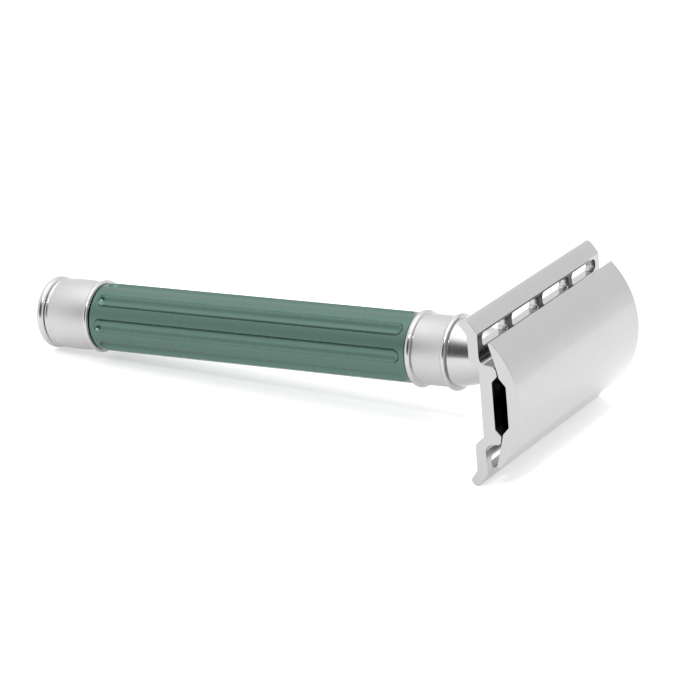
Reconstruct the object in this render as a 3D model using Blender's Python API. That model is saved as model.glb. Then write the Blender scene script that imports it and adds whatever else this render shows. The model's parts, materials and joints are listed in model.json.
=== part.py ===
"""Three-piece double-edge safety razor, lying on a table (Blender 4.5, metres, +Z up).

Every piece is modelled about the handle's own axis: x runs along the handle toward the head, y runs
along the blade's length and z runs from one cutting edge to the other. One empty then lays the razor
down, so that it rests on the lip of its lower safety bar and on the rim of its butt cap.
"""
import math

import bmesh
import bpy
from mathutils import Matrix, Vector

MM = 0.001
GAP = 0.3 * MM             # clearance where one piece sits in another
SEAM = 0.1 * MM            # clearance at a joint line that shows

# Head
HEAD_LENGTH = 42.5 * MM
CAP_CROWN = 10.18 * MM     # top of the cap, from the handle-side origin
CAP_RADIUS = 14.44 * MM
CAP_HALF_WIDTH = 10.05 * MM
CAP_FLOOR = 7.90 * MM      # bottom of the groove inside the cap
PLATE_FLOOR = 5.60 * MM    # the base plate's face toward the cap
PLATE_BACK = 3.50 * MM     # the base plate's face toward the handle
BAR_BACK = 1.90 * MM       # the safety bars' face toward the handle
BAR_FRONT = 3.65 * MM      # the safety bars' face toward the cap
LIP_TIP = Vector((1.70, 0, 13.47)) * MM

# Slots through the safety bars: (distance of the centre from the middle, length)
SLOTS = ((5.25 * MM, 9.0 * MM), (15.40 * MM, 8.4 * MM))
SLOT_HEIGHT = 2.0 * MM
SLOT_Z = 9.95 * MM
SLOT_CORNER = 0.7 * MM

# Stud and locating pins, fixed in the cap
STUD_RADIUS = 2.5 * MM
THREAD_PITCH = 0.8 * MM
THREAD_DEPTH = 0.45 * MM
STUD_TOP = 9.1 * MM
STUD_TIP = -5.0 * MM
PIN_RADIUS = 1.4 * MM
PIN_OFFSET = 12.0 * MM
PIN_TIP = 4.2 * MM
PIN_CHAMFER = 0.3 * MM

# Handle: stations along the axis and radii
NECK_FACE = PLATE_BACK - GAP
NECK_FOOT_RADIUS = 4.7 * MM
NECK_FOOT_BAND = 0.9 * MM  # length of the plain band at the foot of the neck
NECK_WAIST = (-3.6 * MM, 3.95 * MM)
NECK_SAG = 0.35 * MM       # how far the neck's flare curves inward
COLLAR_RADIUS = 5.83 * MM
SLEEVE_RADIUS = 5.84 * MM
SLEEVE_FRONT = -18.75 * MM
SLEEVE_REAR = -81.15 * MM
SLEEVE_BORE = 4.2 * MM
BARREL_RADII = (5.90 * MM, 5.84 * MM)
BARREL_BULGE = 0.235 * MM
BUTT_FACE = -92.19 * MM
BUTT_RADIUS = 6.26 * MM
BUTT_RIM_ARC = 0.80 * MM
SPIGOT_LENGTH = 6.0 * MM

# Beads of the handle: (distance along the axis, crest radius, radius of the bead's own arc)
NECK_BEAD = (-11.55 * MM, 6.34 * MM, 0.53 * MM)
FRONT_BEAD = (-18.00 * MM, 6.38 * MM, 0.62 * MM)
REAR_BEAD = (-81.73 * MM, 6.30 * MM, 0.42 * MM)
END_BEAD = (-90.10 * MM, 6.05 * MM, 0.35 * MM)
BEAD_FOOT = 5.62 * MM      # radius beside the neck bead and the end bead

# Inside the handle
STUD_WELL = -6.0 * MM      # bottom of the neck's stud hole
ROD_RADIUS = 2.0 * MM
ROD_WELL = -13.0 * MM      # bottom of the neck's rod hole
BOSS_RADIUS = 3.4 * MM     # boss of the butt cap
BOSS_LENGTH = 5.7 * MM
ROD_STOP = 1.5 * MM        # thickness of the butt cap behind the rod

# Flutes milled into the sleeve with a ball-ended cutter
FLUTE_COUNT = 8
FLUTE_PHASE = math.radians(-3.6)
FLUTE_DEPTH = 0.80 * MM
FLUTE_CUTTER = 1.45 * MM
FLUTE_ENDS = (-80.2 * MM, -19.65 * MM)

REACH = 2.0 * MM           # how far a cutter passes beyond the faces it cuts through
TURN_STEPS = 32            # segments round a turned piece
SLEEVE_STEPS = 64          # segments round the fluted sleeve
BORE_STEPS = 20            # segments round a hole or a pin
ARCH_STEPS = 9             # segments from the middle of the cap's arch to its edge


# ---------------------------------------------------------------- outlines

def corner_arc(before, corner, after, radius, steps=4):
    """Points that round off one corner of an outline in the x, z plane."""
    to_before = (before - corner).normalized()
    to_after = (after - corner).normalized()
    half = to_before.angle(to_after) / 2
    centre = corner + (to_before + to_after).normalized() * radius / math.sin(half)
    start = (corner + to_before * radius / math.tan(half) - centre).normalized()
    end = (corner + to_after * radius / math.tan(half) - centre).normalized()
    return [centre + start.slerp(end, i / steps) * radius for i in range(steps + 1)]


def rounded(corners):
    """Round an open outline of (x, z, radius) corners; its first and last points stay."""
    points = [Vector((x, 0, z)) for x, z, _ in corners]
    outline = [points[0]]
    for i in range(1, len(corners) - 1):
        radius = corners[i][2]
        if radius:
            outline += corner_arc(points[i - 1], points[i], points[i + 1], radius)
        else:
            outline.append(points[i])
    return outline + [points[-1]]


def mirrored(half):
    """Close a half outline, drawn from z = 0 round to z = 0, with its mirror image."""
    return half + [Vector((p.x, 0, -p.z)) for p in reversed(half[1:-1])]


def bow(start, end, sagitta, steps):
    """Points of an arc from start to end that bulges by sagitta toward larger radius."""
    a, b = Vector((*start, 0)), Vector((*end, 0))
    out = Vector((a.y - b.y, b.x - a.x, 0)).normalized() * (1 if b.x > a.x else -1)
    return [tuple((a.lerp(b, t) + out * sagitta * 4 * t * (1 - t)).xy)
            for t in (i / steps for i in range(steps + 1))]


def bead(shape, left, right, steps=6):
    """Points (x, radius) of a round bead that starts at radius left and ends at radius right."""
    x, crest, arc = shape
    centre = crest - arc
    start = -math.acos((left - centre) / arc)
    end = math.acos((right - centre) / arc)
    angles = [start + (end - start) * i / steps for i in range(steps + 1)]
    return [(x + arc * math.sin(a), centre + arc * math.cos(a)) for a in angles]


# ---------------------------------------------------------------- meshes

def finish(name, mesh_data, material, sharp=math.radians(32)):
    """Make the object that owns a bmesh, shade it and give it its material."""
    bmesh.ops.recalc_face_normals(mesh_data, faces=mesh_data.faces)
    mesh = bpy.data.meshes.new(name)
    mesh_data.to_mesh(mesh)
    mesh_data.free()
    mesh.shade_smooth()
    mesh.set_sharp_from_angle(angle=sharp)
    if material:
        mesh.materials.append(material)
    obj = bpy.data.objects.new(name, mesh)
    bpy.context.scene.collection.objects.link(obj)
    return obj


def turned(name, loop, material, steps=TURN_STEPS):
    """Spin a closed loop of (x, radius) points about the x axis."""
    shape = bmesh.new()
    verts = [shape.verts.new((x, radius, 0)) for x, radius in loop]
    for i, vert in enumerate(verts):
        following = verts[(i + 1) % len(verts)]
        if vert.co.y or following.co.y:
            shape.edges.new((vert, following))
    bmesh.ops.spin(shape, geom=shape.verts[:] + shape.edges[:], cent=(0, 0, 0), axis=(1, 0, 0),
                   angle=math.tau, steps=steps, use_merge=True)
    bmesh.ops.remove_doubles(shape, verts=shape.verts, dist=1e-6)
    return finish(name, shape, material)


def add_prism(shape, outline, step):
    """Add the outline, swept along the vector step, to a bmesh."""
    face = shape.faces.new([shape.verts.new(p) for p in outline])
    swept = bmesh.ops.extrude_face_region(shape, geom=[face])["geom"]
    bmesh.ops.translate(shape, vec=step, verts=[v for v in swept if isinstance(v, bmesh.types.BMVert)])


def head_section(name, half_outline, material):
    """Sweep a mirrored half outline over the length of the head."""
    shape = bmesh.new()
    offset = Vector((0, -HEAD_LENGTH / 2, 0))
    add_prism(shape, [p + offset for p in mirrored(half_outline)], Vector((0, HEAD_LENGTH, 0)))
    return finish(name, shape, material)


def add_bore(shape, x_from, x_to, y, radius):
    """Add a cylinder along x to a bmesh of cutters."""
    place = Matrix.Translation(((x_from + x_to) / 2, y, 0)) @ Matrix.Rotation(math.pi / 2, 4, "Y")
    bmesh.ops.create_cone(shape, cap_ends=True, segments=BORE_STEPS, radius1=radius, radius2=radius,
                          depth=x_to - x_from, matrix=place)


def cut(obj, shape):
    """Take everything in a bmesh of separate cutters away from an object."""
    cutter = finish(obj.name + "_cutter", shape, None)
    cutter.hide_render = True
    cutter.display_type = "WIRE"
    boolean = obj.modifiers.new("Cut", "BOOLEAN")
    boolean.operation = "DIFFERENCE"
    boolean.solver = "EXACT"
    boolean.object = cutter
    cutter.parent = obj


def metal(name, colour, roughness):
    """A metallic Principled material."""
    material = bpy.data.materials.new(name)
    material.use_nodes = True
    shader = material.node_tree.nodes["Principled BSDF"]
    shader.inputs["Base Color"].default_value = (*colour, 1)
    shader.inputs["Metallic"].default_value = 1.0
    shader.inputs["Roughness"].default_value = roughness
    return material


# ---------------------------------------------------------------- head pieces

def cap_surface(z):
    """Height of the cap's outer surface at a distance z from the middle."""
    return CAP_CROWN - CAP_RADIUS + math.sqrt(CAP_RADIUS ** 2 - z ** 2)


def make_cap(material):
    """The curved cap: an arched outer face, thin edges and a groove inside."""
    heights = [CAP_HALF_WIDTH * i / ARCH_STEPS for i in range(ARCH_STEPS + 1)]
    arch = [Vector((cap_surface(z), 0, z)) for z in heights]
    rim = (arch[-1].x / MM, CAP_HALF_WIDTH / MM, 0)
    edge = rounded([rim, (5.86, 10.33, 0.20), (5.38, 9.98, 0.20), (5.52, 9.45, 0)])
    lining = [(6.25, 7.05, 0), (6.84, 4.60, 0), (6.92, 4.37, 0), (7.88, 3.27, 0), (CAP_FLOOR / MM, 0, 0)]
    half = arch + [p * MM for p in edge[1:] + rounded(lining)]
    cap = head_section("cap", half, material)
    sockets = bmesh.new()
    add_bore(sockets, CAP_FLOOR - GAP, STUD_TOP + GAP, 0, STUD_RADIUS + GAP)
    for side in (-1, 1):
        add_bore(sockets, CAP_FLOOR - GAP, STUD_TOP + GAP, side * PIN_OFFSET, PIN_RADIUS + GAP)
    cut(cap, sockets)
    return cap


def make_base_plate(material):
    """The base plate: a grooved middle, two ridges and two safety bars with hooked lips."""
    corners = [
        (PLATE_FLOOR / MM, 0, 0),
        (PLATE_FLOOR / MM, 3.78, 0),       # foot of the groove's side
        (6.58, 4.82, 0.28),                # crest of the ridge that the blade bends over
        (6.36, 6.27, 0.70),
        (BAR_FRONT / MM, 6.65, 1.25),      # foot of the trough
        (3.70, 11.48, 0.55),
        (2.80, 12.74, 5.00),               # slight crown of the lip's outer face
        (1.826, 13.78, 0.75),              # lip
        (0.545, 12.74, 0.60),
        (1.92, 10.95, 1.00),
        (BAR_BACK / MM, 6.70, 1.60),
        (PLATE_BACK / MM, 5.35, 0),
        (PLATE_BACK / MM, 0, 0),
    ]
    plate = head_section("base_plate", [p * MM for p in rounded(corners)], material)
    cutters = bmesh.new()
    for side in (-1, 1):
        for end in (-1, 1):
            for distance, length in SLOTS:
                add_slot(cutters, end * distance, length, side * SLOT_Z)
        add_bore(cutters, PLATE_BACK - REACH, PLATE_FLOOR + REACH, side * PIN_OFFSET, PIN_RADIUS + GAP)
    add_bore(cutters, PLATE_BACK - REACH, PLATE_FLOOR + REACH, 0, STUD_RADIUS + GAP)
    cut(plate, cutters)
    return plate


def add_slot(shape, y, length, z):
    """Add the cutter of one rounded slot through a safety bar."""
    half_y, half_z = length / 2, SLOT_HEIGHT / 2
    sides = [(0, half_y, 0), (half_z, half_y, SLOT_CORNER), (half_z, -half_y, SLOT_CORNER),
             (-half_z, -half_y, SLOT_CORNER), (-half_z, half_y, SLOT_CORNER), (0, half_y, 0)]
    outline = [Vector((BAR_BACK - REACH, y + p.z, z + p.x)) for p in rounded(sides)[:-1]]
    add_prism(shape, outline, Vector((BAR_FRONT - BAR_BACK + 2 * REACH, 0, 0)))


def make_stud(material):
    """The threaded stud: a helical ridge on a round core, drawn as one grid of points."""
    steps, rows_per_turn = 12, 4
    length = STUD_TOP - STUD_TIP
    rows = round(length / THREAD_PITCH * rows_per_turn)
    shape = bmesh.new()
    rings = []
    for row in range(rows + 1):
        x = STUD_TIP + length * row / rows
        ring = []
        for step in range(steps):
            angle = math.tau * step / steps
            phase = (x / THREAD_PITCH - step / steps) % 1
            radius = STUD_RADIUS - THREAD_DEPTH * abs(2 * phase - 1)
            if row in (0, rows):
                radius = STUD_RADIUS - THREAD_DEPTH
            ring.append(shape.verts.new((x, radius * math.cos(angle), radius * math.sin(angle))))
        rings.append(ring)
    for lower, upper in zip(rings, rings[1:]):
        for i in range(steps):
            j = (i + 1) % steps
            shape.faces.new((lower[i], lower[j], upper[j], upper[i]))
    shape.faces.new(rings[0])
    shape.faces.new(rings[-1])
    return finish("threaded_stud", shape, material)


def make_pin(name, y, material):
    """A locating pin with a chamfered tip that lines the blade up on the base plate."""
    loop = [(PIN_TIP, 0), (PIN_TIP, PIN_RADIUS - PIN_CHAMFER), (PIN_TIP + PIN_CHAMFER, PIN_RADIUS),
            (STUD_TOP, PIN_RADIUS), (STUD_TOP, 0)]
    pin = turned(name, loop, material, BORE_STEPS)
    pin.location.y = y
    return pin


# ---------------------------------------------------------------- handle pieces

def make_neck_ferrule(material):
    """The front fitting: tapered neck, satin collar between two beads, and a spigot."""
    spigot_radius = SLEEVE_BORE - GAP
    shoulder = SLEEVE_FRONT + SEAM
    spigot_end = SLEEVE_FRONT - SPIGOT_LENGTH
    rod_hole = ROD_RADIUS + GAP
    stud_hole = STUD_RADIUS + GAP
    foot = (NECK_FACE - NECK_FOOT_BAND, NECK_FOOT_RADIUS)
    loop = [(spigot_end, rod_hole), (spigot_end, spigot_radius), (shoulder, spigot_radius)]
    loop += bead(FRONT_BEAD, SLEEVE_RADIUS, COLLAR_RADIUS)
    loop += bead(NECK_BEAD, COLLAR_RADIUS, BEAD_FOOT)
    loop += bow(NECK_WAIST, foot, -NECK_SAG, 5)
    loop += [(NECK_FACE, NECK_FOOT_RADIUS), (NECK_FACE, stud_hole)]
    loop += [(STUD_WELL, stud_hole), (STUD_WELL, 0)]
    loop += [(ROD_WELL, 0), (ROD_WELL, rod_hole)]
    return turned("neck_ferrule", loop, material)


def make_handle_sleeve(material):
    """The coloured grip: a tube with eight round-ended flutes."""
    loop = [(SLEEVE_REAR, SLEEVE_BORE), (SLEEVE_REAR, SLEEVE_RADIUS),
            (SLEEVE_FRONT, SLEEVE_RADIUS), (SLEEVE_FRONT, SLEEVE_BORE)]
    sleeve = turned("handle_sleeve", loop, material, SLEEVE_STEPS)
    centre_radius = SLEEVE_RADIUS - FLUTE_DEPTH + FLUTE_CUTTER
    reach = math.sqrt(FLUTE_CUTTER ** 2 - (centre_radius - SLEEVE_RADIUS) ** 2)
    start, end = FLUTE_ENDS[0] + reach, FLUTE_ENDS[1] - reach
    cutters = bmesh.new()
    for i in range(FLUTE_COUNT):
        angle = FLUTE_PHASE + math.tau * i / FLUTE_COUNT
        add_capsule(cutters, start, end, FLUTE_CUTTER, Matrix.Rotation(angle, 4, "X"), centre_radius)
    cut(sleeve, cutters)
    return sleeve


def add_capsule(shape, x_from, x_to, radius, turn, offset):
    """Add a round-ended rod along x, moved out by offset and then turned about the x axis."""
    quarter = [math.pi / 2 * i / 4 for i in range(5)]
    path = [(x_from - radius * math.cos(a), radius * math.sin(a)) for a in quarter]
    path += [(x_to + radius * math.cos(a), radius * math.sin(a)) for a in reversed(quarter)]
    rod = bmesh.new()
    verts = [rod.verts.new((x, r if r > 1e-9 else 0, 0)) for x, r in path]
    for first, second in zip(verts, verts[1:]):
        rod.edges.new((first, second))
    bmesh.ops.spin(rod, geom=rod.verts[:] + rod.edges[:], cent=(0, 0, 0), axis=(1, 0, 0),
                   angle=math.tau, steps=24, use_merge=True)
    bmesh.ops.remove_doubles(rod, verts=rod.verts, dist=1e-6)
    bmesh.ops.transform(rod, matrix=turn @ Matrix.Translation((0, offset, 0)), verts=rod.verts)
    mesh = bpy.data.meshes.new("capsule")
    rod.to_mesh(mesh)
    rod.free()
    shape.from_mesh(mesh)
    bpy.data.meshes.remove(mesh)


def make_butt_ferrule(material):
    """The rear fitting: a bulged barrel between two beads, with a spigot into the sleeve."""
    spigot_radius = SLEEVE_BORE - GAP
    shoulder = SLEEVE_REAR - SEAM
    spigot_end = SLEEVE_REAR + SPIGOT_LENGTH
    rod_hole = ROD_RADIUS + GAP
    boss_hole = BOSS_RADIUS + GAP
    boss_well = BUTT_FACE + BOSS_LENGTH + GAP
    face = BUTT_FACE + 2 * BUTT_RIM_ARC + SEAM
    first = bead(END_BEAD, BEAD_FOOT, BARREL_RADII[0])
    last = bead(REAR_BEAD, BARREL_RADII[1], SLEEVE_RADIUS)
    loop = [(face, boss_hole), (face, BEAD_FOOT)] + first
    loop += bow(first[-1], last[0], BARREL_BULGE, 6)[1:-1] + last
    loop += [(shoulder, SLEEVE_RADIUS), (shoulder, spigot_radius), (spigot_end, spigot_radius)]
    loop += [(spigot_end, rod_hole), (boss_well, rod_hole), (boss_well, boss_hole)]
    return turned("butt_ferrule", loop, material)


def make_butt_cap(material):
    """The round-rimmed end cap, with a boss that takes the end of the tie rod."""
    centre = (BUTT_FACE + BUTT_RIM_ARC, BUTT_RADIUS - BUTT_RIM_ARC)
    angles = [math.pi * i / 8 for i in range(9)]
    rim = [(centre[0] - BUTT_RIM_ARC * math.cos(a), centre[1] + BUTT_RIM_ARC * math.sin(a)) for a in angles]
    rod_hole = ROD_RADIUS + GAP
    boss_end = BUTT_FACE + BOSS_LENGTH
    rod_stop = BUTT_FACE + ROD_STOP
    loop = [(BUTT_FACE, 0)] + rim + [(rim[-1][0], BOSS_RADIUS), (boss_end, BOSS_RADIUS),
                                     (boss_end, rod_hole), (rod_stop, rod_hole), (rod_stop, 0)]
    return turned("butt_cap", loop, material)


def make_tie_rod(material):
    """The rod inside the handle that draws the fittings together on the sleeve."""
    start = BUTT_FACE + ROD_STOP + GAP
    end = ROD_WELL - GAP
    loop = [(start, 0), (start, ROD_RADIUS), (end, ROD_RADIUS), (end, 0)]
    return turned("tie_rod", loop, material, BORE_STEPS)


# ---------------------------------------------------------------- assembly

def lay_down(pieces):
    """Hang all pieces on an empty that rests the razor on z = 0, centred on the origin."""
    reach = LIP_TIP.x - (BUTT_FACE + BUTT_RIM_ARC)
    tilt = math.atan((LIP_TIP.z - BUTT_RADIUS) / reach)
    turn = Matrix.Rotation(-tilt, 4, "Y")
    corners = [turn @ obj.matrix_basis @ v.co for obj in pieces for v in obj.data.vertices]
    low = Vector([min(c[i] for c in corners) for i in range(3)])
    high = Vector([max(c[i] for c in corners) for i in range(3)])
    table = bpy.data.objects.new("lying_on_table", None)
    bpy.context.scene.collection.objects.link(table)
    table.matrix_world = Matrix.Translation((-(low.x + high.x) / 2, -(low.y + high.y) / 2, -low.z)) @ turn
    for obj in pieces:
        obj.parent = table


def main():
    for obj in list(bpy.data.objects):
        bpy.data.objects.remove(obj)
    polished = (0.78, 0.78, 0.77)
    pieces = [
        make_cap(metal("cap_steel", polished, 0.22)),
        make_stud(metal("stud_steel", (0.60, 0.60, 0.60), 0.30)),
        make_pin("locating_pin_left", -PIN_OFFSET, metal("left_pin_steel", (0.62, 0.62, 0.62), 0.28)),
        make_pin("locating_pin_right", PIN_OFFSET, metal("right_pin_steel", (0.62, 0.62, 0.62), 0.28)),
        make_base_plate(metal("base_plate_steel", polished, 0.24)),
        make_neck_ferrule(metal("neck_steel", polished, 0.15)),
        make_handle_sleeve(metal("green_anodised", (0.12, 0.23, 0.18), 0.35)),
        make_butt_ferrule(metal("butt_steel", polished, 0.30)),
        make_butt_cap(metal("butt_cap_steel", polished, 0.12)),
        make_tie_rod(metal("rod_steel", (0.50, 0.50, 0.50), 0.40)),
    ]
    lay_down(pieces)


main()
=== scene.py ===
"""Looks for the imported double-edge safety razor (Blender 4.5, metres, +Z up).

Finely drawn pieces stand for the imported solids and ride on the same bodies. They are drawn in
millimetres about the handle's own axis, like the solids: x toward the head, y along the blade,
z from one cutting edge to the other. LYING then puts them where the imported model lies.
"""
import json
import math

import bmesh
import bpy
import numpy as np
from mathutils import Matrix, Vector


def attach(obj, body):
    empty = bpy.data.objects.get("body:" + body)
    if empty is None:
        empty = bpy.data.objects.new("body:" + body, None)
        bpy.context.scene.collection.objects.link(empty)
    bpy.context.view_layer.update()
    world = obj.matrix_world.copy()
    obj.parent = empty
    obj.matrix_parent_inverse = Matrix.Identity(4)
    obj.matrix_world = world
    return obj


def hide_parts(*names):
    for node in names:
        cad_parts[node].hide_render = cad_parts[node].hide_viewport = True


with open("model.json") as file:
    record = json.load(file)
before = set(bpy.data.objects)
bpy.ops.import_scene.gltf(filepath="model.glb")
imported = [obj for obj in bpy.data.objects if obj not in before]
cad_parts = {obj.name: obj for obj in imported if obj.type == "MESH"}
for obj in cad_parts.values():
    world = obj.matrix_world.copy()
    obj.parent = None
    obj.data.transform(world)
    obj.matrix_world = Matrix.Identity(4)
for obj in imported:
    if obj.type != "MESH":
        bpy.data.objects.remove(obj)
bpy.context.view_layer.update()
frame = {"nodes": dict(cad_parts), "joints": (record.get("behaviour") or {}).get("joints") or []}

MM = 0.001

# Head: sections in the x, z plane, as (x, z, corner radius)
HEAD_HALF_LENGTH = 21.25
CAP_CROWN = 10.18
CAP_RADIUS = 14.44
CAP_HALF_WIDTH = 10.05
CAP_EDGE = ((5.86, 10.33, 0.20), (5.38, 9.98, 0.20), (5.52, 9.45, 0.0))
CAP_LINING = ((5.52, 9.45, 0.0), (6.25, 7.05, 0.3), (6.84, 4.60, 0.1), (6.92, 4.37, 0.1),
              (7.88, 3.27, 0.12), (7.90, 0, 0))
PLATE_SECTION = ((5.60, 0, 0), (5.60, 3.78, 0.15), (6.58, 4.82, 0.28), (6.36, 6.27, 0.70),
                 (3.65, 6.65, 1.25), (3.70, 11.48, 0.35), (2.80, 12.74, 5.0), (1.826, 13.78, 0.75),
                 (0.545, 12.74, 0.60), (1.92, 10.95, 1.00), (1.90, 6.70, 1.60), (3.50, 5.35, 0.30),
                 (3.50, 0, 0))
BAR_FACES = (1.90, 3.66)             # x of the safety bars' back and front faces
SLOTS = ((5.25, 9.0), (15.40, 8.4))  # (distance of the centre from the middle, length)
SLOT_Z = 9.95
SLOT_HALF_HEIGHT = 1.0
SLOT_CORNER = 0.7
SLOT_FLARE = ((-1.4, 0.10), (-0.02, 0.10), (0.03, 0.03), (0.10, 0.0))  # (depth in the bar, widening)
END_BEVEL = 0.10
BEVEL_STEPS = 3
ARC_STEPS = 10
ARCH_STEPS = 60
MITRE_LIMIT = 0.5                    # keeps inset from stretching an outline's sharp corners

# Stud and pins
CAP_FLOOR = 7.90
PLATE_FACES = (3.50, 5.60)
STUD_RADIUS = 2.5
STUD_ENDS = (-5.0, 9.1)
STUD_HOLE = 2.8
THREAD_PITCH = 0.8
THREAD_DEPTH = 0.45
THREAD_STEPS = 48
THREAD_ROWS = 16
PIN_RADIUS = 1.4
PIN_HOLE = 1.7
PIN_OFFSET = 12.0
PIN_ENDS = (4.2, 9.1)
PIN_TIP = 0.4                        # how far a pin's tip is rounded off
PIN_TIP_STEPS = 6
PIN_STEPS = 64
BORE_STEPS = 64
SOCKET_MARGIN = 0.3                  # how far the cap's blind sockets reach past the stud and pins
HOLE_MARGIN = 2.0                    # how far a through hole's cutter stands out of the plate

# Handle
NECK_FACE = 3.2
FOOT_RADIUS = 4.7
FOOT_BAND = 0.9
NECK_WAIST = (-3.6, 3.95)
NECK_SAG = 0.35
NECK_STEPS = 16
BEAD_FILLET = 0.12
BEAD_STEPS = 18
FILLET_STEPS = 6
NECK_BEAD = (-11.55, 6.34, 0.53)     # a bead is (x, crest radius, radius of its own arc)
NECK_BEAD_FOOT = 5.62
COLLAR_RADIUS = 5.83
FRONT_BEAD = (-18.00, 6.38, 0.62)
SLEEVE_RADIUS = 5.84
SLEEVE_ENDS = (-81.15, -18.75)
SLEEVE_BORE = 4.2
SLEEVE_CHAMFERS = (0.28, 0.10)
REAR_BEAD = (-81.73, 6.30, 0.42)
BARREL_RADII = (5.90, 5.84)
BARREL_BULGE = 0.235
BARREL_STEPS = 24
END_BEAD = (-90.10, 6.05, 0.35)
END_BEAD_FOOT = 5.62
BUTT_FACE = -92.19
BUTT_RADIUS = 6.26
BUTT_RIM_ARC = 0.80
RIM_STEPS = 24
SPIGOT_RADIUS = 3.9
SPIGOT_LENGTH = 6.0
STUD_WELL = -6.0
ROD_HOLE = 2.3
ROD_WELL = -13.0
BOSS_RADIUS = 3.4
BOSS_LENGTH = 5.7
BOSS_HOLE = 3.7
BOSS_WELL = 6.0
ROD_STOP = 1.5
SEAM = 0.10
TURN_STEPS = 192

# Flutes
FLUTE_COUNT = 8
FLUTE_PHASE = math.radians(-3.6)
FLUTE_DEPTH = 0.80
FLUTE_CUTTER = 1.45
FLUTE_ENDS = (-80.2, -19.65)
FLUTE_EDGE = 0.05                    # how far a flute's edge is rounded off
FLUTE_STEPS = 48                     # points across a flute, crowded toward its edges
LAND_STEPS = 10                      # points across the plain strip between two flutes
FLUTE_END_ROWS = 22
FLUTE_MIDDLE_ROWS = 10

SMOOTH_BELOW = math.radians(40)

# Where the razor lies, from the hinge between the base plate and the handle
TURN_JOINT = next(joint for joint in frame["joints"] if joint["name"] == "handle_turn")
HEAD_WARD = -Vector(TURN_JOINT["axis"]).normalized()
BLADE_WARD = Vector((0, 1, 0))
EDGE_WARD = HEAD_WARD.cross(BLADE_WARD)
ORIGIN = Vector(TURN_JOINT["pos_m"]) - HEAD_WARD * NECK_FACE * MM
RAZOR_AXES = Matrix((HEAD_WARD, BLADE_WARD, EDGE_WARD)).transposed()
LYING = Matrix.Translation(ORIGIN) @ RAZOR_AXES.to_4x4()


# ---------------------------------------------------------------- outlines

def corner_arc(before, corner, after, radius):
    """Points that round off one corner of an outline."""
    to_before = (before - corner).normalized()
    to_after = (after - corner).normalized()
    half = to_before.angle(to_after) / 2
    centre = corner + (to_before + to_after).normalized() * radius / math.sin(half)
    start = (corner + to_before * radius / math.tan(half) - centre).normalized()
    end = (corner + to_after * radius / math.tan(half) - centre).normalized()
    return [centre + start.slerp(end, i / ARC_STEPS) * radius for i in range(ARC_STEPS + 1)]


def rounded(corners):
    """Round an open outline of (a, b, radius) corners; its first and last points stay."""
    points = [Vector((a, b)) for a, b, _ in corners]
    outline = [points[0]]
    for before, corner, after, (_, _, radius) in zip(points, points[1:], points[2:], corners[1:]):
        outline += corner_arc(before, corner, after, radius) if radius else [corner]
    return outline + [points[-1]]


def mirrored(half):
    """Close a half outline, drawn from z = 0 round to z = 0, with its mirror image."""
    return half + [Vector((p.x, -p.y)) for p in reversed(half[1:-1])]


def inset(outline, distance):
    """Move a closed outline inward by a small distance."""
    area = sum(a.x * b.y - a.y * b.x for a, b in zip(outline, outline[1:] + outline[:1]))
    turn = 1 if area > 0 else -1
    moved = []
    for i, point in enumerate(outline):
        before = (point - outline[i - 1]).normalized()
        after = (outline[(i + 1) % len(outline)] - point).normalized()
        along = (before + after).normalized()
        inward = Vector((-along.y, along.x)) * turn
        moved.append(point + inward * distance / max(along.dot(after), MITRE_LIMIT))
    return moved


def bead_side(shape, foot, fillet, side):
    """Half a bead: where its arc ends, as an angle from the crest, and the fillet down to its foot."""
    x, crest, arc = shape
    end = math.acos((foot + fillet - (crest - arc)) / (arc + fillet))
    middle = x + side * (arc + fillet) * math.sin(end)
    steps = FILLET_STEPS if fillet else 0
    angles = [end * (1 - i / steps) for i in range(1, steps + 1)]
    curve = [(middle - side * fillet * math.sin(a), foot + fillet - fillet * math.cos(a)) for a in angles]
    return end, curve


def bead(shape, left, right, left_fillet=BEAD_FILLET, right_fillet=BEAD_FILLET):
    """Points (x, radius) of a round bead between a foot of radius left and one of radius right."""
    x, crest, arc = shape
    start, rise = bead_side(shape, left, left_fillet, -1)
    end, fall = bead_side(shape, right, right_fillet, 1)
    angles = [-start + (end + start) * i / BEAD_STEPS for i in range(BEAD_STEPS + 1)]
    crown = [(x + arc * math.sin(a), crest - arc + arc * math.cos(a)) for a in angles]
    return rise[::-1] + crown + fall


def bow(start, end, sagitta, steps):
    """Points of a shallow arc between two (x, radius) points that bulges by sagitta."""
    a, b = Vector(start), Vector(end)
    out = Vector((a.y - b.y, b.x - a.x)).normalized()
    return [tuple(a.lerp(b, t) + out * sagitta * 4 * t * (1 - t))
            for t in (i / steps for i in range(steps + 1))]


# ---------------------------------------------------------------- meshes

def finish_piece(name, shape, materials):
    """Turn a bmesh drawn in millimetres about the handle's axis into a piece that lies in place."""
    bmesh.ops.recalc_face_normals(shape, faces=shape.faces)
    mesh = bpy.data.meshes.new(name)
    shape.to_mesh(mesh)
    shape.free()
    mesh.transform(LYING @ Matrix.Scale(MM, 4))
    mesh.shade_smooth()
    mesh.set_sharp_from_angle(angle=SMOOTH_BELOW)
    for material in materials:
        mesh.materials.append(material)
    piece = bpy.data.objects.new(name, mesh)
    bpy.context.scene.collection.objects.link(piece)
    return piece


def grid_faces(shape, rings):
    """Join neighbouring rings of vertices with quads."""
    for lower, upper in zip(rings, rings[1:]):
        for i in range(len(lower)):
            j = (i + 1) % len(lower)
            shape.faces.new((lower[i], lower[j], upper[j], upper[i]))


def close_ends(shape, rings):
    """Fill the first and the last ring."""
    shape.faces.new(rings[0])
    shape.faces.new(rings[-1])


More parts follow.
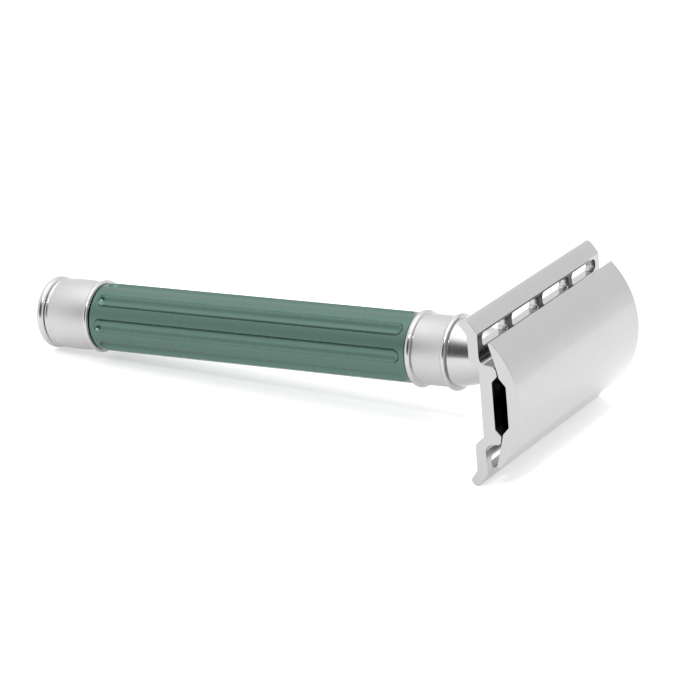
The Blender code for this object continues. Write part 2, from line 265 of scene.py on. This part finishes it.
def turned(name, loop, materials, indices=None, steps=TURN_STEPS):
    """Spin a closed loop of (x, radius) points about the axis.

    indices gives the material index of the surface that starts at each point of the loop.
    """
    shape = bmesh.new()
    rings = []
    for x, radius in loop:
        if radius == 0:
            rings.append([shape.verts.new((x, 0, 0))])
            continue
        angles = [math.tau * i / steps for i in range(steps)]
        ring = [(x, radius * math.cos(a), radius * math.sin(a)) for a in angles]
        rings.append([shape.verts.new(point) for point in ring])
    for row, ring in enumerate(rings):
        following = rings[(row + 1) % len(rings)]
        if len(ring) == 1 and len(following) == 1:
            continue
        for i in range(steps):
            corners = [ring[i % len(ring)], ring[(i + 1) % len(ring)],
                       following[(i + 1) % len(following)], following[i % len(following)]]
            face = shape.faces.new(list(dict.fromkeys(corners)))
            face.material_index = indices[row] if indices else 0
    return finish_piece(name, shape, materials)


def head_section(half_outline):
    """Sweep a mirrored half outline over the head's length, with rounded end edges."""
    outline = mirrored(half_outline)
    shape = bmesh.new()
    stations = []
    for i in range(BEVEL_STEPS + 1):
        a = math.pi / 2 * i / BEVEL_STEPS
        y = HEAD_HALF_LENGTH - END_BEVEL * (1 - math.sin(a))
        stations.append((y, END_BEVEL * (1 - math.cos(a))))
    stations = [(-y, depth) for y, depth in reversed(stations)] + stations
    rings = []
    for y, depth in stations:
        ring = inset(outline, depth) if depth > 0 else outline
        rings.append([shape.verts.new((p.x, y, p.y)) for p in ring])
    grid_faces(shape, rings)
    close_ends(shape, rings)
    return shape


def add_bore(shape, x_from, x_to, y, radius):
    """Add a cylinder along x to a bmesh of cutters."""
    along = Matrix.Translation(((x_from + x_to) / 2, y, 0)) @ Matrix.Rotation(math.pi / 2, 4, "Y")
    bmesh.ops.create_cone(shape, cap_ends=True, segments=BORE_STEPS, radius1=radius, radius2=radius,
                          depth=x_to - x_from, matrix=along)


def add_slot(shape, y, length, z):
    """Add the cutter of one slot: a rounded window whose edges flare at both faces of the bar."""
    stations = [(BAR_FACES[0] + depth, grow) for depth, grow in SLOT_FLARE]
    stations += [(BAR_FACES[1] - depth, grow) for depth, grow in reversed(SLOT_FLARE)]
    rings = []
    for x, grow in stations:
        half_y, half_z, corner = length / 2 + grow, SLOT_HALF_HEIGHT + grow, SLOT_CORNER + grow
        sides = [(half_y, 0, 0), (half_y, half_z, corner), (-half_y, half_z, corner),
                 (-half_y, -half_z, corner), (half_y, -half_z, corner), (half_y, 0, 0)]
        outline = rounded(sides)[:-1]
        rings.append([shape.verts.new((x, y + p.x, z + p.y)) for p in outline])
    grid_faces(shape, rings)
    close_ends(shape, rings)


def cut(piece, shape):
    """Take a bmesh of cutters away from a piece for good, and even out its shading."""
    cutter = finish_piece(piece.name + "_cutter", shape, [])
    boolean = piece.modifiers.new("Cut", "BOOLEAN")
    boolean.operation = "DIFFERENCE"
    boolean.solver = "EXACT"
    boolean.object = cutter
    depsgraph = bpy.context.evaluated_depsgraph_get()
    mesh = bpy.data.meshes.new_from_object(piece.evaluated_get(depsgraph))
    piece.modifiers.clear()
    piece.data = mesh
    bpy.data.objects.remove(cutter)
    mesh.shade_smooth()
    mesh.set_sharp_from_angle(angle=SMOOTH_BELOW)


def even_shading(piece):
    """Let large flat faces keep their own normals beside narrow rounded edges."""
    weighted = piece.modifiers.new("Even shading", "WEIGHTED_NORMAL")
    weighted.mode = "FACE_AREA"
    weighted.keep_sharp = True
    return piece


# ---------------------------------------------------------------- materials

STEEL = (0.48, 0.48, 0.478)
PLATING = (0.435, 0.435, 0.433)
FINISHES = {  # colour, roughness, size of the tool marks in mm along x, y and z, their relief in microns
    "polished_steel": (STEEL, 0.20, (0.12, 9, 9), 0.10),
    "satin_steel": (STEEL, 0.42, (0.10, 6, 6), 0.8),
    "plated_base": (PLATING, 0.18, (0.15, 2.5, 0.15), 0.10),
    "plated_cap": (PLATING, 0.17, (0.15, 2.5, 0.15), 0.15),
    "green_anodised": ((0.086, 0.150, 0.126), 0.30, (0.5, 3, 3), 0.1),
    "stud_steel": ((0.50, 0.50, 0.50), 0.25, (0.08, 1, 1), 0.5),
    "pin_steel": ((0.52, 0.52, 0.52), 0.24, (0.10, 1, 1), 0.5),
    "rod_steel": ((0.42, 0.42, 0.42), 0.40, (0.12, 2, 2), 0.8),
}
COATS = {"green_anodised": 0.15}     # weight of the clear layer on top, where there is one
COAT_ROUGHNESS = 0.16
MICRON = 1e-6
NOISE_DETAIL = 3.0
NOISE_RANGE = (0.3, 0.7)             # where most of the noise lies
SMEAR_CELL = (6.0, 4.0, 4.0)         # size of the handling marks, in mm
SMEAR_SHADE = 0.03                   # share by which handling changes the colour
SMEAR_ROUGHNESS = 0.08               # and the roughness
MARK_ROUGHNESS = 0.15                # share by which the tool marks change the roughness


def add_node(tree, kind, settings=None, inputs=None):
    """Add a node, with attributes from settings and socket values or links from inputs."""
    node = tree.nodes.new(kind)
    for name, value in (settings or {}).items():
        setattr(node, name, value)
    for name, value in (inputs or {}).items():
        if isinstance(value, bpy.types.NodeSocket):
            tree.links.new(value, node.inputs[name])
        else:
            node.inputs[name].default_value = value
    return node


def razor_noise(tree, cell):
    """Noise in the razor's own x, y, z, with one cell of the given size in millimetres."""
    point = add_node(tree, "ShaderNodeTexCoord").outputs["Object"]
    local = add_node(tree, "ShaderNodeMapping", {"vector_type": "TEXTURE"}, {
        "Vector": point,
        "Location": ORIGIN,
        "Rotation": LYING.to_euler(),
        "Scale": [size * MM for size in cell],
    }).outputs["Vector"]
    return add_node(tree, "ShaderNodeTexNoise", None, {
        "Vector": local, "Scale": 1.0, "Detail": NOISE_DETAIL,
    }).outputs["Fac"]


def spread(tree, value, low, high):
    """Map the noise's usual range to the range low to high."""
    return add_node(tree, "ShaderNodeMapRange", None, {
        "Value": value,
        "From Min": NOISE_RANGE[0],
        "From Max": NOISE_RANGE[1],
        "To Min": low,
        "To Max": high,
    }).outputs["Result"]


def metal(name):
    """A worked metal surface with tool marks, and slow changes of shade and roughness from handling."""
    colour, roughness, grain, relief = FINISHES[name]
    material = bpy.data.materials.new(name)
    material.use_nodes = True
    tree = material.node_tree
    shader = tree.nodes["Principled BSDF"]
    shader.inputs["Metallic"].default_value = 1.0
    shader.inputs["Coat Weight"].default_value = COATS.get(name, 0.0)
    shader.inputs["Coat Roughness"].default_value = COAT_ROUGHNESS

    marks = razor_noise(tree, grain)
    smears = razor_noise(tree, SMEAR_CELL)
    shade = add_node(tree, "ShaderNodeMix", {"data_type": "RGBA"}, {
        "Factor": smears,
        "A": (*[c * (1 - SMEAR_SHADE) for c in colour], 1),
        "B": (*[c * (1 + SMEAR_SHADE) for c in colour], 1),
    }).outputs["Result"]
    mark_change, smear_change = MARK_ROUGHNESS * roughness, SMEAR_ROUGHNESS * roughness
    worn = add_node(tree, "ShaderNodeMath", {"operation": "ADD"}, {
        0: spread(tree, marks, -mark_change, mark_change),
        1: spread(tree, smears, roughness - smear_change, roughness + smear_change),
    }).outputs["Value"]
    bump = add_node(tree, "ShaderNodeBump", None, {
        "Height": marks, "Strength": 1.0, "Distance": relief * MICRON,
    }).outputs["Normal"]
    tree.links.new(shade, shader.inputs["Base Color"])
    tree.links.new(worn, shader.inputs["Roughness"])
    tree.links.new(bump, shader.inputs["Normal"])
    return material


# ---------------------------------------------------------------- head pieces

def make_cap(material):
    """The cap: an arched outer face, thin rounded edges and a groove inside."""
    arch = []
    for i in range(ARCH_STEPS + 1):
        z = CAP_HALF_WIDTH * i / ARCH_STEPS
        arch.append(Vector((CAP_CROWN - CAP_RADIUS + math.sqrt(CAP_RADIUS ** 2 - z ** 2), z)))
    edge = rounded([(arch[-1].x, CAP_HALF_WIDTH, 0), *CAP_EDGE])
    half = arch + edge[1:] + rounded(CAP_LINING)[1:]
    cap = finish_piece("arched_cap", head_section(half), [material])
    sockets = bmesh.new()
    for y, radius in ((0, STUD_HOLE), (-PIN_OFFSET, PIN_HOLE), (PIN_OFFSET, PIN_HOLE)):
        add_bore(sockets, CAP_FLOOR - SOCKET_MARGIN, STUD_ENDS[1] + SOCKET_MARGIN, y, radius)
    cut(cap, sockets)
    return even_shading(cap)


def make_plate(material):
    """The base plate: a grooved middle, two ridges, and two slotted safety bars with lips."""
    plate = finish_piece("slotted_base_plate", head_section(rounded(PLATE_SECTION)), [material])
    back, front = PLATE_FACES[0] - HOLE_MARGIN, PLATE_FACES[1] + HOLE_MARGIN
    cutters = bmesh.new()
    for side in (-1, 1):
        for end in (-1, 1):
            for distance, length in SLOTS:
                add_slot(cutters, end * distance, length, side * SLOT_Z)
        add_bore(cutters, back, front, side * PIN_OFFSET, PIN_HOLE)
    add_bore(cutters, back, front, 0, STUD_HOLE)
    cut(plate, cutters)
    return even_shading(plate)


def make_stud(material):
    """The stud, with a rounded helical thread that runs out at both ends."""
    length = STUD_ENDS[1] - STUD_ENDS[0]
    rows = round(length / THREAD_PITCH * THREAD_ROWS)
    shape = bmesh.new()
    rings = []
    for row in range(rows + 1):
        x = STUD_ENDS[0] + length * row / rows
        fade = min(1.0, (x - STUD_ENDS[0]) / THREAD_PITCH, (STUD_ENDS[1] - x) / THREAD_PITCH)
        ring = []
        for step in range(THREAD_STEPS):
            angle = math.tau * step / THREAD_STEPS
            turn = math.tau * (x / THREAD_PITCH - step / THREAD_STEPS)
            ridge = 0.5 - 0.5 * math.cos(turn)
            radius = STUD_RADIUS - THREAD_DEPTH * (1 - fade * ridge)
            ring.append(shape.verts.new((x, radius * math.cos(angle), radius * math.sin(angle))))
        rings.append(ring)
    grid_faces(shape, rings)
    close_ends(shape, rings)
    return finish_piece("helical_stud", shape, [material])


def make_pin(name, y, material):
    """A locating pin with a rounded tip."""
    loop = [(PIN_ENDS[0], 0)]
    for i in range(PIN_TIP_STEPS + 1):
        a = math.pi / 2 * i / PIN_TIP_STEPS
        loop.append((PIN_ENDS[0] + PIN_TIP * (1 - math.cos(a)), PIN_RADIUS - PIN_TIP * (1 - math.sin(a))))
    loop += [(PIN_ENDS[1], PIN_RADIUS), (PIN_ENDS[1], 0)]
    pin = turned(name, loop, [material], steps=PIN_STEPS)
    pin.data.transform(Matrix.Translation((0, y * MM, 0)))
    return pin


# ---------------------------------------------------------------- handle pieces

POLISHED, SATIN = 0, 1


def make_neck(materials):
    """The front fitting: tapered neck, satin collar between two polished beads, and a spigot."""
    shoulder = SLEEVE_ENDS[1] + SEAM
    spigot_end = SLEEVE_ENDS[1] - SPIGOT_LENGTH
    loop = [(spigot_end, ROD_HOLE), (spigot_end, SPIGOT_RADIUS), (shoulder, SPIGOT_RADIUS)]
    loop += bead(FRONT_BEAD, SLEEVE_RADIUS, COLLAR_RADIUS, left_fillet=0)
    collar_row = len(loop) - 1
    loop += bead(NECK_BEAD, COLLAR_RADIUS, NECK_BEAD_FOOT)
    loop += bow(NECK_WAIST, (NECK_FACE - FOOT_BAND, FOOT_RADIUS), -NECK_SAG, NECK_STEPS)
    loop += [(NECK_FACE, FOOT_RADIUS), (NECK_FACE, STUD_HOLE), (STUD_WELL, STUD_HOLE), (STUD_WELL, 0),
             (ROD_WELL, 0), (ROD_WELL, ROD_HOLE)]
    indices = [SATIN if row == collar_row else POLISHED for row in range(len(loop))]
    return turned("neck_fitting", loop, materials, indices)


def make_butt(materials):
    """The rear fitting: a bulged satin barrel between two polished beads, and a spigot."""
    shoulder = SLEEVE_ENDS[0] - SEAM
    spigot_end = SLEEVE_ENDS[0] + SPIGOT_LENGTH
    face = BUTT_FACE + 2 * BUTT_RIM_ARC + SEAM
    first = bead(END_BEAD, END_BEAD_FOOT, BARREL_RADII[0], left_fillet=0)
    last = bead(REAR_BEAD, BARREL_RADII[1], SLEEVE_RADIUS, right_fillet=0)
    loop = [(face, BOSS_HOLE), (face, END_BEAD_FOOT)] + first
    barrel_start = len(loop) - 1
    loop += bow(first[-1], last[0], BARREL_BULGE, BARREL_STEPS)[1:-1]
    barrel_end = len(loop)
    loop += last
    loop += [(shoulder, SLEEVE_RADIUS), (shoulder, SPIGOT_RADIUS), (spigot_end, SPIGOT_RADIUS),
             (spigot_end, ROD_HOLE), (BUTT_FACE + BOSS_WELL, ROD_HOLE), (BUTT_FACE + BOSS_WELL, BOSS_HOLE)]
    indices = [SATIN if barrel_start <= row < barrel_end else POLISHED for row in range(len(loop))]
    return turned("butt_fitting", loop, materials, indices)


def make_butt_cap(material):
    """The polished end cap: a flat face, a round rim and a boss."""
    centre = (BUTT_FACE + BUTT_RIM_ARC, BUTT_RADIUS - BUTT_RIM_ARC)
    rim = [(centre[0] - BUTT_RIM_ARC * math.cos(a), centre[1] + BUTT_RIM_ARC * math.sin(a))
           for a in (math.pi * i / RIM_STEPS for i in range(RIM_STEPS + 1))]
    boss_end = BUTT_FACE + BOSS_LENGTH
    loop = [(BUTT_FACE, 0)] + rim + [(rim[-1][0], BOSS_RADIUS), (boss_end, BOSS_RADIUS),
                                     (boss_end, ROD_HOLE), (BUTT_FACE + ROD_STOP, ROD_HOLE),
                                     (BUTT_FACE + ROD_STOP, 0)]
    return turned("rimmed_butt_cap", loop, [material])


def flute_reach():
    """Half the width of a flute, which is also how far its round ends run along the sleeve."""
    return math.sqrt(FLUTE_CUTTER ** 2 - (FLUTE_CUTTER - FLUTE_DEPTH) ** 2)


def sleeve_stations():
    """Stations along the sleeve, crowded toward the tips of the flutes."""
    quarter = np.linspace(0, math.pi / 2, FLUTE_END_ROWS)
    round_end = flute_reach() * (1 - np.cos(quarter))
    first = np.append(FLUTE_ENDS[0] - FLUTE_EDGE, FLUTE_ENDS[0] + round_end)
    last = np.append(FLUTE_ENDS[1] - round_end[::-1], FLUTE_ENDS[1] + FLUTE_EDGE)
    between = np.linspace(first[-1], last[0], FLUTE_MIDDLE_ROWS)[1:-1]
    return np.concatenate([first, between, last])


def sleeve_angles():
    """Angles round the sleeve, crowded toward the edges of the flutes."""
    sector = math.tau / FLUTE_COUNT
    edge = math.asin(flute_reach() / SLEEVE_RADIUS)
    inside = edge * np.sin(np.linspace(-math.pi / 2, math.pi / 2, FLUTE_STEPS))
    rim = FLUTE_EDGE / SLEEVE_RADIUS
    land = np.linspace(edge + rim, sector - edge - rim, LAND_STEPS)
    one = np.concatenate([inside, land])
    return np.concatenate([FLUTE_PHASE + sector * i + one for i in range(FLUTE_COUNT)])


def sleeve_surface(x, angles):
    """Radius of the sleeve's fluted surface at one station, for all angles."""
    reach = flute_reach()
    beyond = max(FLUTE_ENDS[0] + reach - x, x - (FLUTE_ENDS[1] - reach), 0.0)
    centre = SLEEVE_RADIUS - FLUTE_DEPTH + FLUTE_CUTTER
    sector = math.tau / FLUTE_COUNT
    off = (angles - FLUTE_PHASE + sector / 2) % sector - sector / 2
    inside = FLUTE_CUTTER ** 2 - beyond ** 2 - (centre * np.sin(off)) ** 2
    groove = centre * np.cos(off) - np.sqrt(np.maximum(inside, 0.0))
    blend = np.clip(0.5 + 0.5 * (groove - SLEEVE_RADIUS) / FLUTE_EDGE, 0, 1)
    soft = groove * (1 - blend) + SLEEVE_RADIUS * blend - FLUTE_EDGE * blend * (1 - blend)
    return np.where(inside > 0, np.minimum(soft, SLEEVE_RADIUS), SLEEVE_RADIUS)


def make_sleeve(material):
    """The grip: a tube with eight round-ended flutes and finely chamfered ends."""
    angles = sleeve_angles()
    plain = np.ones(len(angles))
    rear, front = SLEEVE_ENDS
    rear_chamfer, front_chamfer = SLEEVE_CHAMFERS
    rows = [(rear, plain * SLEEVE_BORE), (rear, plain * (SLEEVE_RADIUS - rear_chamfer)),
            (rear + rear_chamfer, plain * SLEEVE_RADIUS)]
    rows += [(x, sleeve_surface(x, angles)) for x in sleeve_stations()]
    rows += [(front - front_chamfer, plain * SLEEVE_RADIUS),
             (front, plain * (SLEEVE_RADIUS - front_chamfer)), (front, plain * SLEEVE_BORE)]
    shape = bmesh.new()
    rings = []
    for x, radii in rows:
        points = zip(radii * np.cos(angles), radii * np.sin(angles))
        rings.append([shape.verts.new((x, float(y), float(z))) for y, z in points])
    grid_faces(shape, rings + [rings[0]])
    return finish_piece("fluted_sleeve", shape, [material])


# ---------------------------------------------------------------- studio

CAMERA_TARGET = Vector((0.005289, 0.006041, 0.006560))
CAMERA_DISTANCE = 0.47406
CAMERA_ANGLES = (30.793, 20.718)     # azimuth and elevation, in degrees
CAMERA_ROLL = -1.325                 # in degrees
CAMERA_LENS = 145.52
CAMERA_CLIP = 0.01

FLOOR_RADIUS = 3.0
FLOOR_STEPS = 128
FLOOR_ROUGHNESS = 0.8
FLOOR_SHADE = 0.68
FLOOR_MOTTLE = 0.02
FLOOR_MOTTLE_SCALE = 9.0
FLOOR_GLOW = 0.46                    # light from under the table's white top

ROOM_LEVEL = 1.44
ROOM_SHADES = ((0.0, 0.95), (0.26, 0.86), (0.50, 0.88), (0.71, 1.02),
               (0.83, 1.22), (0.94, 1.52), (1.0, 1.75))  # (height of a direction, brightness)
DARK_SIDE = (8.0, 26.0)              # azimuth and elevation of the room's unlit side, in degrees
DARK_SPREAD = (18.0, 42.0)           # where it starts to fade and where it is gone, in degrees
DARK_SHARE = 0.92                    # how much of the light is missing there

SPARK_ANGLES = (20.0, 50.0)          # a small lamp, for the glints at the ends of the flutes
SPARK_DISTANCE = 1.0
SPARK_SIZE = 0.06
SPARK_POWER = 2.0


def direction(azimuth, elevation):
    """Unit vector from the razor; azimuth turns from -Y toward +X, both in degrees."""
    a, e = math.radians(azimuth), math.radians(elevation)
    return Vector((math.sin(a) * math.cos(e), -math.cos(a) * math.cos(e), math.sin(e)))


def make_camera():
    """The camera at the product shot's angle, with a long lens."""
    back = direction(*CAMERA_ANGLES)
    data = bpy.data.cameras.new("camera")
    data.lens = CAMERA_LENS
    data.clip_start = CAMERA_CLIP
    camera = bpy.data.objects.new("camera", data)
    bpy.context.scene.collection.objects.link(camera)
    roll = Matrix.Rotation(math.radians(CAMERA_ROLL), 3, "Z")
    turn = back.to_track_quat("Z", "Y").to_matrix() @ roll
    camera.matrix_world = Matrix.Translation(CAMERA_TARGET + back * CAMERA_DISTANCE) @ turn.to_4x4()
    bpy.context.scene.camera = camera


def make_floor():
    """A plain white table under the razor."""
    material = bpy.data.materials.new("white_table")
    material.use_nodes = True
    tree = material.node_tree
    shader = tree.nodes["Principled BSDF"]
    shader.inputs["Roughness"].default_value = FLOOR_ROUGHNESS
    shader.inputs["Specular IOR Level"].default_value = 0.0
    shader.inputs["Emission Color"].default_value = (1, 1, 1, 1)
    shader.inputs["Emission Strength"].default_value = FLOOR_GLOW
    point = add_node(tree, "ShaderNodeTexCoord").outputs["Object"]
    mottle = add_node(tree, "ShaderNodeTexNoise", None, {
        "Vector": point, "Scale": FLOOR_MOTTLE_SCALE,
    }).outputs["Fac"]
    shade = add_node(tree, "ShaderNodeMix", {"data_type": "RGBA"}, {
        "Factor": mottle,
        "A": (*[FLOOR_SHADE] * 3, 1),
        "B": (*[FLOOR_SHADE + FLOOR_MOTTLE] * 3, 1),
    }).outputs["Result"]
    tree.links.new(shade, shader.inputs["Base Color"])
    shape = bmesh.new()
    bmesh.ops.create_circle(shape, cap_ends=True, radius=FLOOR_RADIUS, segments=FLOOR_STEPS)
    mesh = bpy.data.meshes.new("table_top")
    shape.to_mesh(mesh)
    shape.free()
    mesh.materials.append(material)
    floor = bpy.data.objects.new("table_top", mesh)
    bpy.context.scene.collection.objects.link(floor)


def unlit_side(tree, ray):
    """A factor that takes most of the light away on the unlit side of the room."""
    toward = add_node(tree, "ShaderNodeVectorMath", {"operation": "DOT_PRODUCT"}, {
        0: ray, 1: direction(*DARK_SIDE),
    }).outputs["Value"]
    return add_node(tree, "ShaderNodeMapRange", {"interpolation_type": "SMOOTHSTEP"}, {
        "Value": toward,
        "From Min": math.cos(math.radians(DARK_SPREAD[1])),
        "From Max": math.cos(math.radians(DARK_SPREAD[0])),
        "To Min": 1.0,
        "To Max": 1.0 - DARK_SHARE,
    }).outputs["Result"]


def make_room():
    """Soft light from all round: a bright ceiling, pale walls and one unlit side."""
    world = bpy.data.worlds.new("studio")
    world.use_nodes = True
    bpy.context.scene.world = world
    tree = world.node_tree
    ray = add_node(tree, "ShaderNodeTexCoord").outputs["Generated"]
    height = add_node(tree, "ShaderNodeSeparateXYZ", None, {"Vector": ray}).outputs["Z"]
    ramp = add_node(tree, "ShaderNodeValToRGB", None, {"Fac": height})
    ramp.color_ramp.interpolation = "EASE"
    stops = ramp.color_ramp.elements
    for position, _ in ROOM_SHADES[1:-1]:
        stops.new(position)
    for stop, (position, level) in zip(stops, ROOM_SHADES):
        stop.position = position
        stop.color = (level, level, level, 1)
    strength = add_node(tree, "ShaderNodeMath", {"operation": "MULTIPLY"}, {
        0: unlit_side(tree, ray), 1: ROOM_LEVEL,
    }).outputs["Value"]
    shader = tree.nodes["Background"]
    tree.links.new(ramp.outputs["Color"], shader.inputs["Color"])
    tree.links.new(strength, shader.inputs["Strength"])


def make_spark():
    """A small soft lamp that faces the razor."""
    data = bpy.data.lights.new("spark", "AREA")
    data.shape = "SQUARE"
    data.size = SPARK_SIZE
    data.energy = SPARK_POWER
    lamp = bpy.data.objects.new("spark", data)
    bpy.context.scene.collection.objects.link(lamp)
    back = direction(*SPARK_ANGLES)
    turn = back.to_track_quat("Z", "Y").to_matrix()
    lamp.matrix_world = Matrix.Translation(back * SPARK_DISTANCE) @ turn.to_4x4()


# ---------------------------------------------------------------- assembly

def stand_in(piece, body, node):
    """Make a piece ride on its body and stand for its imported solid."""
    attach(piece, body)
    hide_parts(node)


def make_razor():
    """All the pieces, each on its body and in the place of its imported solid."""
    finish = {name: metal(name) for name in FINISHES}
    handle_steel = [finish["polished_steel"], finish["satin_steel"]]

    stand_in(make_cap(finish["plated_cap"]), "cap", "cap")
    stand_in(make_stud(finish["stud_steel"]), "cap", "threaded_stud")
    for side, y in (("left", -PIN_OFFSET), ("right", PIN_OFFSET)):
        pin = make_pin("rounded_pin_" + side, y, finish["pin_steel"])
        stand_in(pin, "cap", "locating_pin_" + side)
    stand_in(make_plate(finish["plated_base"]), "plate", "base_plate")
    stand_in(make_neck(handle_steel), "handle", "neck_ferrule")
    stand_in(make_sleeve(finish["green_anodised"]), "handle", "handle_sleeve")
    stand_in(make_butt(handle_steel), "handle", "butt_ferrule")
    stand_in(make_butt_cap(finish["polished_steel"]), "handle", "butt_cap")
    frame["nodes"]["tie_rod"].data.materials[0] = finish["rod_steel"]


def main():
    """The razor in its studio."""
    make_razor()
    make_floor()
    make_room()
    make_spark()
    make_camera()
    bpy.context.scene.view_settings.view_transform = "Standard"


main()
